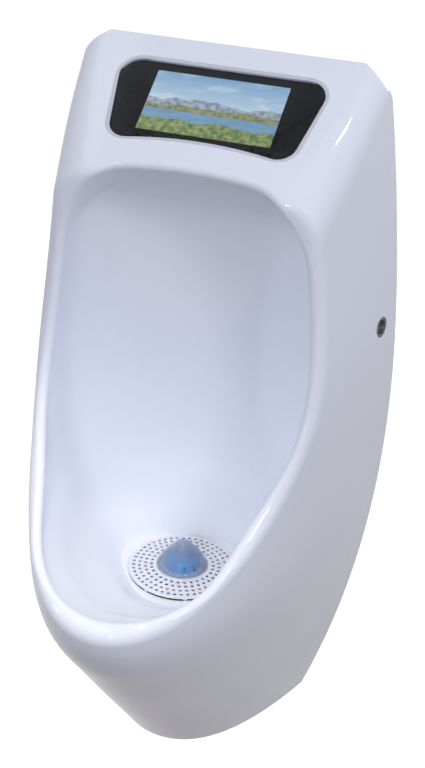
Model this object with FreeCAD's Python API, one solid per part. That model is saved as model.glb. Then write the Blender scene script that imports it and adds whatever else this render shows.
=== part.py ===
import FreeCAD, Part
import math
import os

os.makedirs("parts", exist_ok=True)
Vec = FreeCAD.Vector

# Body shell: levels go up from the lower edge, reach goes out from the wall
HEIGHT = 660.0
WIDTH = 331.0
WIDEST_LEVEL = 360.0
TOP_NARROWING = 30.0
TOP_CURVE = 1.7
BOTTOM_NARROWING = 59.6
BOTTOM_CURVE = 2.1
DEPTH = 314.0
BOTTOM_DEPTH = 132.0
UNDERSIDE_RUN = 0.80
LIP_SOFTNESS = 10.0
FULLNESS = 2.3
SIDE_FULLNESS = 2.0
HIP_FULLNESS = 0.18
HIP_LEVEL = 238.0
HIP_SPREAD = 76.0
SHOULDER_START = 370.0
SHOULDER_RISE = 170.0
SHOULDER_TAPER = 0.28
WALL = 4.0
BACK_OVERRUN = 1.0
TOP_CORNER_RADIUS = 44.0
TOP_CORNER_RISE = 3.0

# Header face
HEADER_SLOPE = 33.0
HEADER_WALL = 6.0
CREASE_BACK_RADIUS = 24.0
CREASE_FRONT_RADIUS = 46.0
NOSE_LEVEL = 470.0
NOSE_MARGIN = 44.0

# Rim and bowl
RIM_WIDTH = 16.5
RIM_OUTER_RADIUS = 12.0
RIM_INNER_RADIUS = 5.0
RIM_BACKING = 11.0
WAIST_REACH = 121.0
LIP_LEVEL = 256.0
ARCH_DROP = 138.0
ARCH_RADIUS = 300.0
ARCH_CORNER_RADIUS = 52.0
CEILING_FALL = 0.8
BOWL_BACK = 24.0
BOWL_ROUNDNESS = 0.56

# Drain opening and the collar under it
DRAIN_REACH = 90.0
DRAIN_LEVEL = 175.0
DRAIN_RADIUS = 46.0
COLLAR_RADIUS = 56.0
COLLAR_LEVEL = 138.0

# Wall fixing
FIXING_LEVEL = 435.0
LOCK_REACH = 27.0
LOCK_HOLE_RADIUS = 9.5
BUSH_CLEARANCE = 0.1
BUSH_SETBACK = 0.5
BUSH_INNER_END = 133.0
SCREW_RADIUS = 4.0
SCREW_HEAD_RADIUS = 6.5
SCREW_HEAD_LENGTH = 8.0
SCREW_SEAT = 145.0
SCREW_TIP = 112.0
SCREW_CLEARANCE = 0.3
SCREW_CHAMFER = 0.6
SOCKET_WIDTH = 6.0
SOCKET_DEPTH = 4.0
PLATE_THICKNESS = 3.0
PLATE_HALF_WIDTH = 131.0
PLATE_HALF_HEIGHT = 40.0
FIXING_SPACING_X = 180.0
FIXING_SPACING_Z = 40.0
FIXING_HOLE_RADIUS = 4.5
TAB_REACH = 40.0
TAB_HALF_HEIGHT = 22.0
HOOK_STEP = 11.0
HOOK_HEIGHT = 22.0
HOOK_NEAR = 58.0
HOOK_FAR = 98.0
HOOK_CLEARANCE = 0.5
HOOK_ROOF = 14.0
HOOK_REACH = 50.0
NUT_WIDTH = 13.0
NUT_THICKNESS = 6.5
NUT_CLEARANCE = 0.05

# Display in the header: drop runs down the slope from the top edge
PANEL_TOP_DROP = 27.0
PANEL_TOP_HALF = 94.5
PANEL_BOTTOM_HALF = 78.8
PANEL_BOTTOM_DROP = 115.0
PANEL_SAG = 9.0
PANEL_TOP_RADIUS = 18.0
PANEL_BOTTOM_RADIUS = 16.0
POCKET_DEPTH = 3.0
PANE_THICKNESS = 2.4
MASK_THICKNESS = 0.5
GASKET_WIDTH = 3.1
PANEL_GAP = 0.15
FACE_GAP = 0.1
SCREEN_WIDTH = 118.0
SCREEN_HEIGHT = 64.6
SCREEN_DROP = 67.4
LCD_MARGIN = 4.0
LCD_THICKNESS = 6.0
LCD_CLEARANCE = 0.5
COVER_MARGIN = 5.0
COVER_WALL = 2.0
COVER_BACK = 27.0
EAR_OFFSET = 74.0
EAR_DROPS = (46.0, 89.0)
EAR_THICKNESS = 3.0
BOSS_RADIUS = 5.0
BOSS_LENGTH = 5.0
COVER_SCREW_RADIUS = 1.45
COVER_SCREW_HEAD_RADIUS = 2.8
COVER_SCREW_HEAD_THICKNESS = 2.2
COVER_SCREW_SLOT = 0.8
COVER_SCREW_CLEARANCE = 0.25
PILOT_CLEARANCE = 0.05
PILOT_SKIN = 1.2
BOARD_WIDTH = 104.0
BOARD_HEIGHT = 58.0
BOARD_THICKNESS = 1.6
BOARD_STANDOFF = 4.0
STAND_RADIUS = 3.0
STAND_INSET = 4.5
SENSOR_OFFSET = -76.5
SENSOR_WIDTH = 11.0
SENSOR_HEIGHT = 18.0
SENSOR_THICKNESS = 5.0
LENS_RADIUS = 3.6
LENS_CLEARANCE = 0.4
GLAND_OFFSET = 30.0
GLAND_RADIUS = 7.0
GLAND_BORE = 3.2
GLAND_WALL = 1.7
GLAND_HEAD_LENGTH = 7.0
GLAND_NUT_RADIUS = 6.2
GLAND_NUT_LENGTH = 3.0
GLAND_DEPTH = 16.0

# Drain housing, union nut and outlet elbow
HOUSING_CLEARANCE = 0.4
HOUSING_WALL = 2.6
HOUSING_TOP = 168.0
HOUSING_FLOOR = 95.0
HOUSING_FLOOR_THICKNESS = 3.0
FLANGE_THICKNESS = 5.0
DRAIN_GASKET_THICKNESS = 2.0
FLANGE_INSET = 0.3
NUT_GRIP_HEIGHT = 30.0
UNION_CLEARANCE = 0.25
UNION_NECK_GAP = 1.5
UNION_WALL = 5.0
UNION_FLOOR = 4.0
GRIP_COUNT = 12
GRIP_WIDTH = 8.0
GRIP_HEIGHT = 2.5
OUTLET_RADIUS = 25.0
OUTLET_WALL = 3.0
SPIGOT_END = 72.0
SOCKET_CLEARANCE = 0.25
SOCKET_WALL = 4.2
BEND_RADIUS = 32.0
OUTLET_SETBACK = 8.0
OUTLET_SOCKET_LENGTH = 34.0
SHOULDER_LENGTH = 3.0
SEAL_DEPTH = 2.0
SEAL_HALF_LENGTH = 2.0
SEAL_FIT = 0.05
UPPER_SEAL_DROP = 12.0
WALL_SEAL_DEPTH = 10.0
SPIGOT_GAP = 0.5

# Trap cartridge
CUP_CLEARANCE = 1.2
CUP_WALL = 2.2
CUP_FLOOR = 100.0
CUP_FLOOR_THICKNESS = 3.0
CUP_FLANGE_THICKNESS = 2.7
SEAT_GAP = 0.3
PORT_RADIUS = 12.0
RING_SECTION = 2.0
RING_LEVELS = (114.0, 150.0)
STRAINER_RADIUS = 51.6
STRAINER_EDGE_LEVEL = 178.0
STRAINER_RISE = 2.7
STRAINER_BEVEL = 1.5
STRAINER_THICKNESS = 2.2
STRAINER_HOLE_RADIUS = 1.6
SKIRT_WALL = 2.0
SKIRT_CLEARANCE = 0.2
FOOT_WIDTH = 3.2
FOOT_THICKNESS = 2.4
FOOT_INSET = 0.8
FOOT_COUNT = 8
FOOT_TURN = -112.0
GUIDE_WALL = 3.7
STRAINER_RINGS = ((29.6, 30), (35.2, 36), (41.0, 42), (46.6, 48))
CONE_RADIUS = 23.8
CONE_HEIGHT = 27.0
CONE_WALL = 1.6
SLOT_ANGLES = (26.0, 52.7)
SLOT_WIDTH = 3.2
SLOT_START = 1.6
SLOT_END = 9.0
STONE_RADIUS = 17.0
STONE_SHOULDER = 8.0
STONE_HEIGHT = 17.0
SEAT_WIDTH = 5.0
SEAT_THICKNESS = 2.0
FLOAT_RADIUS = 26.0
FLOAT_HEIGHT = 34.0
FLOAT_BEVEL = 6.0
FLOAT_GAP = 0.1
FLOAT_TRAVEL = 8.0
STEM_RADIUS = 3.0
STEM_GRIP = 10.0
GUIDE_CLEARANCE = 0.3

SLOPE = math.radians(HEADER_SLOPE)
DOWN_SLOPE = Vec(0, -math.cos(SLOPE), -math.sin(SLOPE))
UP = Vec(0, 0, 1)
SIDEWAYS = Vec(1, 0, 0)
INWARD = Vec(0, 1, 0)
DRAIN_AXIS = Vec(0, -DRAIN_REACH, 0)
HOUSING_RADIUS = DRAIN_RADIUS - HOUSING_CLEARANCE
HOUSING_BORE = HOUSING_RADIUS - HOUSING_WALL
CUP_RADIUS = HOUSING_BORE - CUP_CLEARANCE
CUP_BORE = CUP_RADIUS - CUP_WALL


def box(x0, x1, y0, y1, z0, z1):
    return Part.makeBox(x1 - x0, y1 - y0, z1 - z0, Vec(x0, y0, z0))


def mirrored_pair(shape):
    return [shape, shape.mirror(Vec(0, 0, 0), SIDEWAYS)]


def turned(profile):
    # Solid of revolution round the drain axis from (radius, level) points
    points = [Vec(r, 0, z) for r, z in profile]
    face = Part.Face(Part.makePolygon(points + points[:1]))
    solid = face.revolve(Vec(0, 0, 0), UP, 360)
    solid.translate(DRAIN_AXIS)
    return solid


def ring(inner, outer, low, high):
    return turned([(inner, low), (outer, low), (outer, high), (inner, high)])


def hexagon(width, length, base, direction):
    radius = width / math.sqrt(3)
    points = [Vec(radius * math.cos(math.radians(60 * k)), radius * math.sin(math.radians(60 * k)), 0)
              for k in range(6)]
    solid = Part.Face(Part.makePolygon(points + points[:1])).extrude(Vec(0, 0, length))
    solid.Placement = FreeCAD.Placement(base, FreeCAD.Rotation(UP, direction))
    return solid


def samples(edge, shares=(0.1, 0.3, 0.5, 0.7, 0.9)):
    first, last = edge.FirstParameter, edge.LastParameter
    return [edge.valueAt(first + (last - first) * share) for share in shares]


def half_width(level):
    if level < WIDEST_LEVEL:
        share = (WIDEST_LEVEL - level) / WIDEST_LEVEL
        return WIDTH / 2 - BOTTOM_NARROWING * share ** BOTTOM_CURVE
    share = (level - WIDEST_LEVEL) / (HEIGHT - WIDEST_LEVEL)
    return WIDTH / 2 - TOP_NARROWING * share ** TOP_CURVE


def front_depth(level):
    over = BOTTOM_DEPTH + UNDERSIDE_RUN * level - DEPTH
    return DEPTH - LIP_SOFTNESS * math.log(1 + math.exp(-over / LIP_SOFTNESS))


def plan_poles(half, front, level):
    side = SIDE_FULLNESS + HIP_FULLNESS * math.exp(-((level - HIP_LEVEL) / HIP_SPREAD) ** 2)
    share = min(max((level - SHOULDER_START) / SHOULDER_RISE, 0), 1)
    side -= SHOULDER_TAPER * share ** 2 * (3 - 2 * share)
    return [
        Vec(half, 0, level),
        Vec(half * side / 3, -front * FULLNESS / 3, level),
        Vec(half / 3, -front, level),
        Vec(0, -front, level),
    ]


def mirrored(points):
    return [Vec(-p.x, p.y, p.z) for p in reversed(points)]


def plan_wire(half, front, level):
    right = plan_poles(half, front, level)[:3]
    curve = Part.BSplineCurve()
    curve.buildFromPolesMultsKnots(right + mirrored(right), [4, 2, 4], [0, 0.5, 1], False, 3)
    back = Part.makeLine(Vec(-half, 0, level), Vec(half, 0, level))
    return Part.Wire([curve.toShape(), back])


def body_loft(inset):
    shares = (-0.01, 0, 0.09, 0.18, 0.27, 0.33, 0.38, 0.42, 0.5, 0.6, 0.73, 0.85, 0.94, 1.03)
    levels = [share * HEIGHT for share in shares]
    wires = [plan_wire(half_width(z) - inset, front_depth(z) - inset, z) for z in levels]
    return Part.makeLoft(wires, True, False)


def wide_extrusion(points, curve=None):
    edges = [Part.makeLine(p, q) for p, q in zip(points, points[1:])]
    if curve is None:
        edges.append(Part.makeLine(points[-1], points[0]))
    else:
        edges.append(curve)
    solid = Part.Face(Part.Wire(edges)).extrude(Vec(2 * WIDTH, 0, 0))
    solid.translate(Vec(-WIDTH, 0, 0))
    return solid


def under_header(drop):
    top = Vec(0, 0, HEIGHT - drop / math.cos(SLOPE))
    far = top + DOWN_SLOPE * (2 * DEPTH)
    return wide_extrusion([top, far, Vec(0, far.y, -HEIGHT), Vec(0, 0, -HEIGHT)])


def behind_rim(shift):
    # Side view of the rim: upright waist that sweeps forward into the lip
    sweep = [(WAIST_REACH + 20, 720), (WAIST_REACH + 13, 640), (WAIST_REACH + 7, 580),
             (WAIST_REACH + 2, 530), (WAIST_REACH, 480), (WAIST_REACH + 3, 440),
             (139, 388), (169, 346), (211, 308), (260, 278),
             (DEPTH + 2, LIP_LEVEL), (DEPTH + 31, LIP_LEVEL - 4)]
    points = [Vec(0, shift - reach, level - shift) for reach, level in sweep]
    curve = Part.BSplineCurve()
    curve.interpolate(points)
    low = Vec(0, points[-1].y, -HEIGHT)
    back_low = Vec(0, WALL, -HEIGHT)
    back_top = Vec(0, WALL, points[0].z)
    return wide_extrusion([points[-1], low, back_low, back_top, points[0]], curve.toShape())


def top_corner_cutter(inset):
    radius = TOP_CORNER_RADIUS - inset
    level = HEIGHT - TOP_CORNER_RADIUS + TOP_CORNER_RISE
    centre = Vec(half_width(level + 5) - TOP_CORNER_RADIUS + 0.8, 0, level)

    def at(degrees):
        turn = math.radians(degrees)
        return centre + Vec(math.cos(turn), 0, math.sin(turn)) * radius

    start, top = at(10), at(90)
    out = start + Vec(0.4, 0, -1) * 60
    high = 2 * HEIGHT
    path = [top, Vec(top.x, 0, high), Vec(WIDTH, 0, high), Vec(WIDTH, 0, out.z), out, start]
    edges = [Part.makeLine(p, q) for p, q in zip(path, path[1:])]
    edges.append(Part.Arc(start, at(50), top).toShape())
    cutter = Part.Face(Part.Wire(edges)).extrude(Vec(0, -3 * DEPTH, 0))
    cutter.translate(Vec(0, DEPTH, 0))
    return cutter


def casing(inset, drop):
    # Body form under the header face, with round top corners and a crease that widens towards the rim
    body = body_loft(inset).common(under_header(drop))
    for cutter in mirrored_pair(top_corner_cutter(inset)):
        body = body.cut(cutter)
    nose = WAIST_REACH + NOSE_MARGIN
    body = body.cut(box(-WIDTH, WIDTH, -2 * DEPTH, -nose, NOSE_LEVEL, 2 * HEIGHT))
    top = HEIGHT - drop / math.cos(SLOPE)
    for side in (1, -1):
        for edge in body.Edges:
            on_face = all(abs(p.z - top - p.y * math.tan(SLOPE)) < 0.05 for p in samples(edge))
            if on_face and edge.BoundBox.YLength > nose / 2 and edge.CenterOfMass.x * side > 0:
                crease = edge
        radii = [CREASE_BACK_RADIUS - drop, CREASE_FRONT_RADIUS - drop]
        if crease.valueAt(crease.FirstParameter).y < crease.valueAt(crease.LastParameter).y:
            radii.reverse()
        body = body.makeFillet(*radii, [crease])
    return body


def outer_body():
    body = casing(0, 0)
    body = body.cut(box(-WIDTH, WIDTH, -2 * DEPTH, DEPTH, -HEIGHT, 0))
    body = body.common(behind_rim(0))
    rim = [f for f in body.Faces if f.BoundBox.YMax < -WAIST_REACH / 2 and f.BoundBox.ZLength > 200][0]
    return body.makeFillet(RIM_OUTER_RADIUS, rim.Edges)


def split_curve(poles, share):
    a = [p * (1 - share) + q * share for p, q in zip(poles, poles[1:])]
    b = [p * (1 - share) + q * share for p, q in zip(a, a[1:])]
    return b[0] * (1 - share) + b[1] * share, b[1], a[2]


def bowl_wire(level, half, front, leave, back):
    # The front follows the body plan, the back is a flat wall with wide round corners
    poles = plan_poles(half, front, level)
    low, high = 0.0, 1.0
    for _ in range(40):
        share = (low + high) / 2
        if -split_curve(poles, share)[0].y < leave:
            low = share
        else:
            high = share
    joint, second, third = split_curve(poles, share)
    front_right = [joint, second, third, poles[3]]
    tangent = (joint - second).normalize()
    reach = (leave - back) * BOWL_ROUNDNESS / abs(tangent.y)
    back_right = [Vec(0, -back, level), Vec(joint.x * BOWL_ROUNDNESS, -back, level),
                  joint + tangent * reach, joint]
    right = [split_curve(part, step / 4)[0] for part in (back_right, front_right) for step in range(4)]
    left = mirrored(right[1:] + [front_right[3]])
    curve = Part.BSplineCurve()
    curve.interpolate(Points=right + left, PeriodicFlag=True)
    return Part.Wire([curve.toShape()])


def bowl_sections(grow):
    # Level, half width at the wall, front reach, reach where the back corner starts, back reach
    floor = [
        (DRAIN_LEVEL, 92, 151, 92, 34),
        (DRAIN_LEVEL + 12, 104, 172, 96, 33),
        (DRAIN_LEVEL + 27, 117, 200, 101, 31.5),
        (DRAIN_LEVEL + 49, 131, 238, 110, 29),
        (DRAIN_LEVEL + 73, 140, 273, 125, 27),
    ]
    rows = [(z - grow, half + grow, front + grow, leave, back - grow)
            for z, half, front, leave, back in floor]
    for level, leave, lean in ((LIP_LEVEL + 4, 135, 0), (310, 125, 0), (360, 118, 0), (430, 114, 0),
                               (510, 112, 9), (590, 116, 42), (660, 120, 76), (730, 124, 96)):
        half = half_width(level) - RIM_WIDTH + grow
        front = front_depth(level) - RIM_WIDTH + grow
        rows.append((level, half, front, leave, BOWL_BACK + lean - grow))
    return rows


def ceiling_level(x, y, rise):
    edge = Vec(0, 0, HEIGHT) + DOWN_SLOPE * ARCH_DROP
    sag = ARCH_RADIUS - math.sqrt(ARCH_RADIUS ** 2 - x ** 2)
    return edge.z + rise - (y - edge.y) * CEILING_FALL - sag


def under_ceiling(rise):
    reach = DEPTH + 60
    half = WIDTH * 0.55
    left = Vec(-half, -reach, ceiling_level(half, -reach, rise))
    right = Vec(half, -reach, left.z)
    arc = Part.Arc(left, Vec(0, -reach, ceiling_level(0, -reach, rise)), right).toShape()
    low_right = Vec(half, -reach, -HEIGHT)
    low_left = Vec(-half, -reach, -HEIGHT)
    path = [right, low_right, low_left, left]
    wire = Part.Wire([arc] + [Part.makeLine(p, q) for p, q in zip(path, path[1:])])
    return Part.Face(wire).extrude(Vec(0, reach, -reach * CEILING_FALL))


def bowl_tool(grow):
    rise = grow * math.sqrt(1 + CEILING_FALL ** 2)
    tool = Part.makeLoft([bowl_wire(*row) for row in bowl_sections(grow)], True, False)
    tool = tool.common(under_ceiling(rise))
    tool = tool.cut(box(-WIDTH, WIDTH, -2 * DEPTH, -DEPTH * 0.64, HEIGHT * 0.86, 2 * HEIGHT))
    edges = []
    for edge in tool.Edges:
        points = samples(edge)
        if edge.BoundBox.YLength > 5 and all(abs(p.z - ceiling_level(p.x, p.y, rise)) < 0.3 for p in points):
            edges.append(edge)
    return tool.makeFillet(ARCH_CORNER_RADIUS, edges)


def on_header(shape):
    moved = shape.copy()
    moved.Placement = FreeCAD.Placement(Vec(0, 0, HEIGHT), FreeCAD.Rotation(SIDEWAYS, HEADER_SLOPE))
    return moved


def panel_block(grow, low, high):
    # Display outline: tapering sides, hollowed lower edge, round corners
    top = -PANEL_TOP_DROP + grow
    bottom = -PANEL_BOTTOM_DROP - grow
    top_half = PANEL_TOP_HALF + grow
    bottom_half = PANEL_BOTTOM_HALF + grow
    corners = [Vec(-bottom_half, bottom, low), Vec(-top_half, top, low),
               Vec(top_half, top, low), Vec(bottom_half, bottom, low)]
    edges = [Part.makeLine(p, q) for p, q in zip(corners, corners[1:])]
    edges.append(Part.Arc(corners[3], Vec(0, bottom + PANEL_SAG, low), corners[0]).toShape())
    block = Part.Face(Part.Wire(edges)).extrude(Vec(0, 0, high - low))
    upright = [e for e in block.Edges if e.BoundBox.ZLength > (high - low) * 0.9]
    upper = [e for e in upright if e.CenterOfMass.y > -SCREEN_DROP]
    lower = [e for e in upright if e.CenterOfMass.y < -SCREEN_DROP]
    block = block.makeFillet(PANEL_TOP_RADIUS + grow, upper)
    points = [e.CenterOfMass for e in lower]
    lower = [e for e in block.Edges if any((e.CenterOfMass - p).Length < 0.01 for p in points)]
    return block.makeFillet(PANEL_BOTTOM_RADIUS + grow, lower)


def screen_block(margin, low, high):
    half = SCREEN_WIDTH / 2 + margin
    drop = SCREEN_HEIGHT / 2 + margin
    return box(-half, half, -SCREEN_DROP - drop, -SCREEN_DROP + drop, low, high)


def post(x, drop, radius, low, high):
    return Part.makeCylinder(radius, high - low, Vec(x, -drop, low), UP)


EARS = [(side * EAR_OFFSET, drop) for side in (-1, 1) for drop in EAR_DROPS]
BOSS_END = -HEADER_WALL - BOSS_LENGTH


def hook_blocks():
    lip_near = HOOK_STEP
    lip_far = HOOK_STEP + PLATE_THICKNESS
    base = FIXING_LEVEL + PLATE_HALF_HEIGHT + PLATE_THICKNESS + HOOK_CLEARANCE
    top = FIXING_LEVEL + PLATE_HALF_HEIGHT + HOOK_HEIGHT + HOOK_ROOF
    block = box(HOOK_NEAR, HOOK_FAR, -HOOK_REACH, -WALL, base, top)
    slot = box(HOOK_NEAR - 1, HOOK_FAR + 1, -lip_far - HOOK_CLEARANCE, -lip_near + HOOK_CLEARANCE,
               base - 1, FIXING_LEVEL + PLATE_HALF_HEIGHT + HOOK_HEIGHT + HOOK_CLEARANCE)
    return mirrored_pair(block.cut(slot))


def body_shell():
    bowl = bowl_tool(0)
    outer = outer_body()
    shell = outer.cut(bowl)
    rim = []
    for edge in shell.Edges:
        points = samples(edge, (0.2, 0.5, 0.8))
        if any(p.y > -WAIST_REACH + 15 or p.z < LIP_LEVEL - 8 for p in points):
            continue
        seats = (outer.Shells[0], bowl.Shells[0])
        if all(seat.distToShape(Part.Vertex(p))[0] < 0.001 for seat in seats for p in points):
            rim.append(edge)
    shell = shell.makeFillet(RIM_INNER_RADIUS, rim)
    # The hollow runs past the wall plane, so the back is open
    overrun = Vec(0, BACK_OVERRUN, 0)
    hollow = casing(WALL, HEADER_WALL - overrun.y * math.sin(SLOPE))
    hollow.translate(overrun)
    hollow = hollow.common(behind_rim(RIM_BACKING)).cut(bowl_tool(WALL))
    shell = shell.cut(hollow)
    collar = Part.makeCylinder(COLLAR_RADIUS, DRAIN_LEVEL - 1 - COLLAR_LEVEL,
                               DRAIN_AXIS + UP * COLLAR_LEVEL, UP)
    shell = shell.fuse([collar] + [block.cut(bowl) for block in hook_blocks()])
    bosses = [on_header(post(x, drop, BOSS_RADIUS, BOSS_END, -HEADER_WALL + 1)) for x, drop in EARS]
    shell = shell.fuse(bosses)
    cuts = [Part.makeCylinder(DRAIN_RADIUS, 60, DRAIN_AXIS + UP * (COLLAR_LEVEL - 10), UP)]
    lock = Part.makeCylinder(LOCK_HOLE_RADIUS, 60, Vec(WIDTH * 0.4, -LOCK_REACH, FIXING_LEVEL), SIDEWAYS)
    cuts += mirrored_pair(lock)
    cuts.append(on_header(panel_block(GASKET_WIDTH + 2 * PANEL_GAP, -POCKET_DEPTH, 40)))
    cuts.append(on_header(screen_block(LCD_MARGIN + LCD_CLEARANCE, -40, 1)))
    pilot_end = -POCKET_DEPTH - PILOT_SKIN
    cuts += [on_header(post(x, drop, COVER_SCREW_RADIUS + PILOT_CLEARANCE, BOSS_END - 1, pilot_end))
             for x, drop in EARS]
    lens_hole = post(SENSOR_OFFSET, SCREEN_DROP, LENS_RADIUS + LENS_CLEARANCE, -HEADER_WALL - 2, 1)
    cuts.append(on_header(lens_hole))
    return shell.cut(cuts)


nodes = {}
nodes["body_shell"] = [body_shell()]

# Wall fixing
plate_low = FIXING_LEVEL - PLATE_HALF_HEIGHT
plate_high = FIXING_LEVEL + PLATE_HALF_HEIGHT
bracket = box(-PLATE_HALF_WIDTH, PLATE_HALF_WIDTH, -PLATE_THICKNESS, 0, plate_low, plate_high)
step = box(-PLATE_HALF_WIDTH, PLATE_HALF_WIDTH, -HOOK_STEP - PLATE_THICKNESS, 0,
           plate_high, plate_high + PLATE_THICKNESS)
lip = box(-PLATE_HALF_WIDTH, PLATE_HALF_WIDTH, -HOOK_STEP - PLATE_THICKNESS, -HOOK_STEP,
          plate_high, plate_high + HOOK_HEIGHT)
tab = box(PLATE_HALF_WIDTH - PLATE_THICKNESS, PLATE_HALF_WIDTH, -TAB_REACH, 0,
          FIXING_LEVEL - TAB_HALF_HEIGHT, FIXING_LEVEL + TAB_HALF_HEIGHT)
bracket = bracket.fuse([step, lip] + mirrored_pair(tab)).removeSplitter()
fixing_holes = []
for x in (-FIXING_SPACING_X / 2, FIXING_SPACING_X / 2):
    for z in (FIXING_LEVEL - FIXING_SPACING_Z / 2, FIXING_LEVEL + FIXING_SPACING_Z / 2):
        fixing_holes.append(Part.makeCylinder(FIXING_HOLE_RADIUS, 40, Vec(x, -30, z), INWARD))
tab_hole = Part.makeCylinder(SCREW_RADIUS + SCREW_CLEARANCE, 2 * PLATE_HALF_WIDTH,
                             Vec(-PLATE_HALF_WIDTH, -LOCK_REACH, FIXING_LEVEL), SIDEWAYS)
nodes["wall_bracket"] = [bracket.cut(fixing_holes + [tab_hole])]

lock_axis = Vec(0, -LOCK_REACH, FIXING_LEVEL)
bush_base = lock_axis + SIDEWAYS * BUSH_INNER_END
bush = Part.makeCylinder(LOCK_HOLE_RADIUS - BUSH_CLEARANCE, 60, bush_base, SIDEWAYS)
bush = bush.common(body_loft(BUSH_SETBACK))
bush = bush.cut([
    Part.makeCylinder(SCREW_HEAD_RADIUS + SCREW_CLEARANCE, 60, lock_axis + SIDEWAYS * SCREW_SEAT, SIDEWAYS),
    Part.makeCylinder(SCREW_RADIUS + SCREW_CLEARANCE, 60, bush_base, SIDEWAYS),
])
nodes["flank_bushes"] = mirrored_pair(bush)

screw = Part.makeCylinder(SCREW_RADIUS, SCREW_SEAT - SCREW_TIP, lock_axis + SIDEWAYS * SCREW_TIP, SIDEWAYS)
head = Part.makeCylinder(SCREW_HEAD_RADIUS, SCREW_HEAD_LENGTH, lock_axis + SIDEWAYS * SCREW_SEAT, SIDEWAYS)
head_end = SCREW_SEAT + SCREW_HEAD_LENGTH
head = head.makeChamfer(SCREW_CHAMFER, [e for e in head.Edges if e.BoundBox.XMin > head_end - 0.1])
socket = hexagon(SOCKET_WIDTH, SOCKET_DEPTH + 1, lock_axis + SIDEWAYS * (head_end - SOCKET_DEPTH), SIDEWAYS)
nodes["locking_screws"] = mirrored_pair(screw.fuse(head).removeSplitter().cut(socket))

nut_face = PLATE_HALF_WIDTH - PLATE_THICKNESS
nut = hexagon(NUT_WIDTH, NUT_THICKNESS, lock_axis + SIDEWAYS * (nut_face - NUT_THICKNESS), SIDEWAYS)
bore_start = lock_axis + SIDEWAYS * (nut_face - 20)
nut = nut.cut(Part.makeCylinder(SCREW_RADIUS + NUT_CLEARANCE, 40, bore_start, SIDEWAYS))
nodes["weld_nuts"] = mirrored_pair(nut)

# Display
mask_back = -POCKET_DEPTH
mask_front = mask_back + MASK_THICKNESS
mask = panel_block(0, mask_back, mask_front).cut(screen_block(0, mask_back - 1, mask_front + 1))
nodes["window_mask"] = [on_header(mask)]
nodes["display_window"] = [on_header(panel_block(0, mask_front, mask_front + PANE_THICKNESS))]
seal = panel_block(PANEL_GAP + GASKET_WIDTH, mask_back, -2 * FACE_GAP)
seal = seal.cut(panel_block(PANEL_GAP, mask_back - 1, 1))
nodes["display_gasket"] = [on_header(seal)]

lcd_front = mask_back - FACE_GAP / 2
nodes["lcd_panel"] = [on_header(screen_block(LCD_MARGIN, lcd_front - LCD_THICKNESS, lcd_front))]

cover_front = -HEADER_WALL - FACE_GAP
cover = screen_block(LCD_MARGIN + COVER_MARGIN, -COVER_BACK, cover_front)
cover = cover.cut(screen_block(LCD_MARGIN + COVER_MARGIN - COVER_WALL, -COVER_BACK + COVER_WALL, 1))
ear_back = BOSS_END - EAR_THICKNESS
ears = []
for x, drop in EARS:
    inner = math.copysign(SCREEN_WIDTH / 2 + LCD_MARGIN + COVER_MARGIN - COVER_WALL, x)
    ear = box(min(x, inner), max(x, inner), -drop - BOSS_RADIUS, -drop + BOSS_RADIUS, ear_back, BOSS_END)
    ears.append(ear.fuse(post(x, drop, BOSS_RADIUS, ear_back, BOSS_END)))
board_back = -COVER_BACK + COVER_WALL + BOARD_STANDOFF
stands = []
for x in (STAND_INSET - BOARD_WIDTH / 2, BOARD_WIDTH / 2 - STAND_INSET):
    for y in (STAND_INSET - BOARD_HEIGHT / 2, BOARD_HEIGHT / 2 - STAND_INSET):
        stands.append(post(x, SCREEN_DROP + y, STAND_RADIUS, -COVER_BACK + 1, board_back))
cover = cover.fuse(ears + stands).removeSplitter()
gland_root = -SCREEN_DROP + SCREEN_HEIGHT / 2 + LCD_MARGIN + COVER_MARGIN
gland_base = Vec(GLAND_OFFSET, gland_root, -GLAND_DEPTH)
gland_hole = Part.makeCylinder(GLAND_BORE + GLAND_WALL + FACE_GAP, 20, gland_base - INWARD * 10, INWARD)
ear_holes = [post(x, drop, COVER_SCREW_RADIUS + COVER_SCREW_CLEARANCE, ear_back - 1, BOSS_END + 1)
             for x, drop in EARS]
nodes["electronics_cover"] = [on_header(cover.cut(ear_holes + [gland_hole]))]


def gland_part(radius, start, length):
    return Part.makeCylinder(radius, length, gland_base + INWARD * start, INWARD)


gland = gland_part(GLAND_RADIUS, 0, GLAND_HEAD_LENGTH).fuse([
    gland_part(GLAND_BORE + GLAND_WALL, -COVER_WALL, COVER_WALL),
    gland_part(GLAND_NUT_RADIUS, -COVER_WALL - GLAND_NUT_LENGTH, GLAND_NUT_LENGTH)]).removeSplitter()
nodes["cable_gland"] = [on_header(gland.cut(gland_part(GLAND_BORE, -20, 40)))]

cover_screws = []
for x, drop in EARS:
    cap_end = ear_back - COVER_SCREW_HEAD_THICKNESS
    shank = post(x, drop, COVER_SCREW_RADIUS, ear_back, -POCKET_DEPTH - PILOT_SKIN - FACE_GAP)
    cap = post(x, drop, COVER_SCREW_HEAD_RADIUS, cap_end, ear_back)
    slot = box(x - COVER_SCREW_HEAD_RADIUS - 1, x + COVER_SCREW_HEAD_RADIUS + 1,
               -drop - COVER_SCREW_SLOT / 2, -drop + COVER_SCREW_SLOT / 2,
               cap_end - 1, cap_end + COVER_SCREW_HEAD_THICKNESS / 2)
    cover_screws.append(on_header(shank.fuse(cap).removeSplitter().cut(slot)))
nodes["cover_screws"] = cover_screws

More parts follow.
